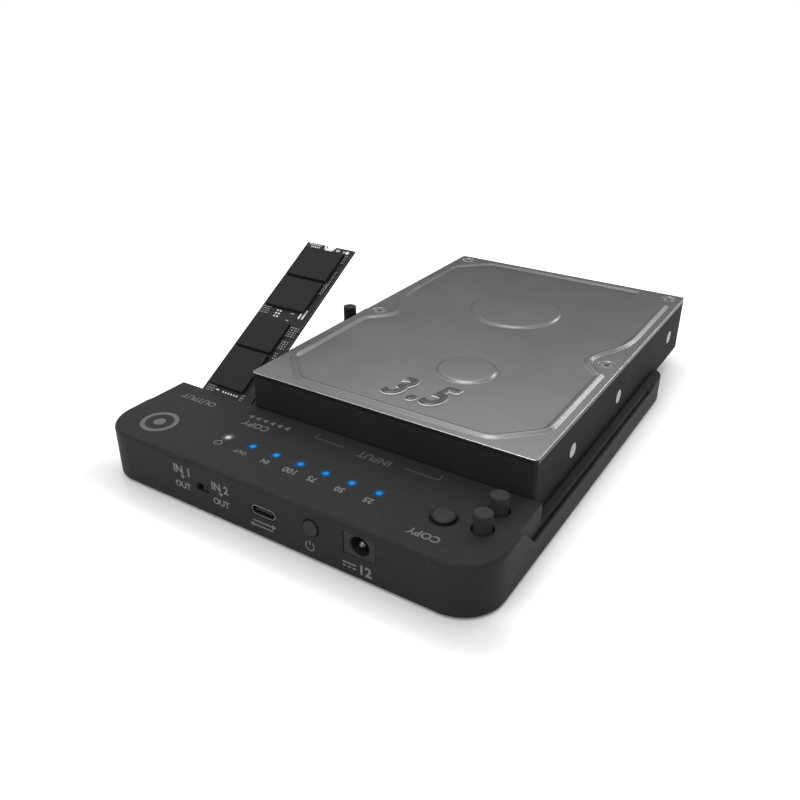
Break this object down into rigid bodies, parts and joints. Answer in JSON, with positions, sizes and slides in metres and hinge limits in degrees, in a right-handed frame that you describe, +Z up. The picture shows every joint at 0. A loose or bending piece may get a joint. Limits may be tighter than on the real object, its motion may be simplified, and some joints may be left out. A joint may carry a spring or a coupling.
{
  "type": "drive duplicator",
  "caption": "Low desktop dock with a sloping-sided control deck and an open rear tray, holding a docked 3.5 inch disk and a tilted flash card with its soft holding pin.",
  "frame": {"origin": "on the table plane, under the middle of the footprint of the dock with its disk docked", "axes": "+X across the deck towards the stored pins, +Y from the deck towards the tray's open end, +Z up"},
  "size_m": [0.1386, 0.1856, 0.0534],
  "materials": {
    "housing": "moulded, fine grain, almost black",
    "base": "moulded, satin",
    "foot_rubber": "soft, matt",
    "screw_steel": "zinc plated",
    "black_screw": "black oxide",
    "circuit_board": "green solder mask",
    "connector_plastic": "glass filled, black",
    "contact_gold": "gold plated",
    "shell_steel": "nickel plated",
    "tongue_plastic": "black",
    "inlet_plastic": "black",
    "button": "moulded, almost black",
    "plunger": "pale",
    "light_pipe": "clear, frosted end",
    "blue_pipe": "lit blue",
    "lamp": "small lamp package",
    "chip": "epoxy package",
    "capacitor": "drawn can",
    "coil": "ferrite",
    "pin_rubber": "soft, matt, almost black",
    "card_green": "dark solder mask",
    "casting": "cast, dark coated",
    "cover": "pressed, satin dark grey",
    "platter": "polished",
    "hub": "turned",
    "magnet": "nickel plated"
  },
  "bodies": {
    "dock": {"top_housing": "housing", "base_plate": "base", "rubber_feet": "foot_rubber", "housing_screws": "black_screw", "main_board": "circuit_board", "board_screws": "screw_steel", "power_light_pipe": "light_pipe", "progress_light_pipes": "blue_pipe", "board_lamps": "lamp", "disk_socket": "connector_plastic", "disk_socket_terminals": "contact_gold", "target_card_socket": "connector_plastic", "source_card_socket": "connector_plastic", "source_socket_springs": "contact_gold", "data_port_shell": "shell_steel", "data_port_tongue": "tongue_plastic", "power_inlet_body": "inlet_plastic", "power_inlet_pin": "shell_steel", "power_inlet_spring": "shell_steel", "power_switch": "connector_plastic", "copy_switch": "connector_plastic", "selector_switch": "connector_plastic", "bridge_chips": "chip", "capacitors": "capacitor", "power_inductors": "coil"},
    "disk": {"disk_casting": "casting", "disk_cover": "cover", "disk_cover_screws": "screw_steel", "disk_spindle_hub": "hub", "disk_platters": "platter", "disk_head_arm": "hub", "disk_magnet_block": "magnet", "disk_motor_plate": "hub", "disk_board": "circuit_board", "disk_board_screws": "screw_steel", "disk_plug": "connector_plastic", "disk_plug_terminals": "contact_gold"},
    "socket_springs": {"target_socket_springs": "contact_gold"},
    "flash_card": {"card_board": "card_green", "card_chips": "chip", "card_fingers": "contact_gold", "card_notch_plating": "contact_gold"},
    "front_pin": {"front_parked_pin": "pin_rubber"},
    "rear_pin": {"rear_parked_pin": "pin_rubber"},
    "card_pin": {"tray_pin": "pin_rubber"},
    "power_key": {"power_button": "button", "power_switch_plunger": "plunger"},
    "copy_key": {"copy_button": "button", "copy_switch_plunger": "plunger"},
    "selector": {"selector_slider": "button"}
  },
  "joints": [
    {"name": "disk_unplug", "type": "slide", "parent": "dock", "child": "disk", "axis": [0, 1, 0], "range_m": [0, 0.012]},
    {"name": "card_tilt", "type": "hinge", "parent": "dock", "child": "socket_springs", "pos_m": [-0.0488, -0.05985, 0.01357], "axis": [1, 0, 0], "range_deg": [-20.5, 0], "stiffness_Nm_per_rad": 0.03, "springref_deg": 20.05},
    {"name": "card_unplug", "type": "slide", "parent": "socket_springs", "child": "flash_card", "axis": [0, 0.8625, 0.506], "range_m": [0, 0.015]},
    {"name": "front_pin_lift", "type": "slide", "parent": "dock", "child": "front_pin", "axis": [0, 0, 1], "range_m": [0, 0.016]},
    {"name": "rear_pin_lift", "type": "slide", "parent": "dock", "child": "rear_pin", "axis": [0, 0, 1], "range_m": [0, 0.016]},
    {"name": "card_pin_lift", "type": "slide", "parent": "dock", "child": "card_pin", "axis": [0, 0, 1], "range_m": [0, 0.006]},
    {"name": "power_press", "type": "slide", "parent": "dock", "child": "power_key", "axis": [0, 1, 0], "range_m": [0, 0.0005], "stiffness_N_per_m": 2000, "springref_m": -0.0003},
    {"name": "copy_press", "type": "slide", "parent": "dock", "child": "copy_key", "axis": [0, 0, -1], "range_m": [0, 0.0005], "stiffness_N_per_m": 2000, "springref_m": -0.0003},
    {"name": "selector_slide", "type": "slide", "parent": "dock", "child": "selector", "axis": [1, 0, 0], "range_m": [-0.002, 0]}
  ]
}
